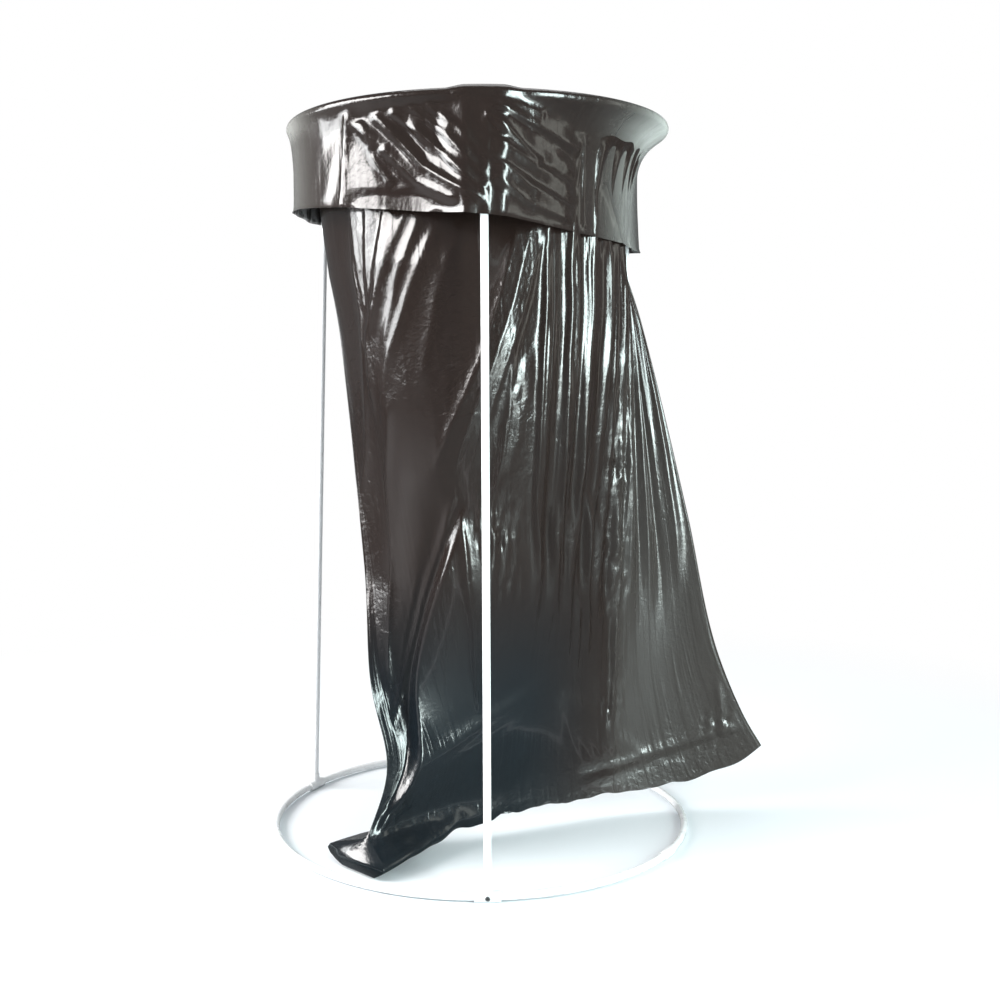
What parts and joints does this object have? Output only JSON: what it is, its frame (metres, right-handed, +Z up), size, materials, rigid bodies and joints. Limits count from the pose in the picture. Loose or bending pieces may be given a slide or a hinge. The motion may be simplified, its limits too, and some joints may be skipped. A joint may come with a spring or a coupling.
{
  "type": "wire bin stand",
  "caption": "Round wire stand with a base ring, splayed legs and a top ring that holds a draped black bin bag open.",
  "frame": {"origin": "centre of the base ring's circle, on the floor", "axes": "+Z up, -Y towards the front leg and the viewer of the picture, +X to the right"},
  "size_m": [0.5844, 0.4901, 0.8043],
  "materials": {
    "coated_wire": "gloss",
    "moulding": "gloss",
    "screw_metal": "satin",
    "bag_film": "gloss"
  },
  "bodies": {
    "root": {"base_ring": "coated_wire", "top_ring": "coated_wire", "base_ring_sleeve": "moulding", "top_ring_sleeve": "moulding", "leg_front": "coated_wire", "foot_clip_front": "moulding", "top_clip_front": "moulding", "foot_screw_front": "screw_metal", "top_screw_front": "screw_metal", "leg_right": "coated_wire", "foot_clip_right": "moulding", "top_clip_right": "moulding", "foot_screw_right": "screw_metal", "top_screw_right": "screw_metal", "leg_left": "coated_wire", "foot_clip_left": "moulding", "top_clip_left": "moulding", "foot_screw_left": "screw_metal", "top_screw_left": "screw_metal", "bin_bag": "bag_film"}
  },
  "joints": []
}
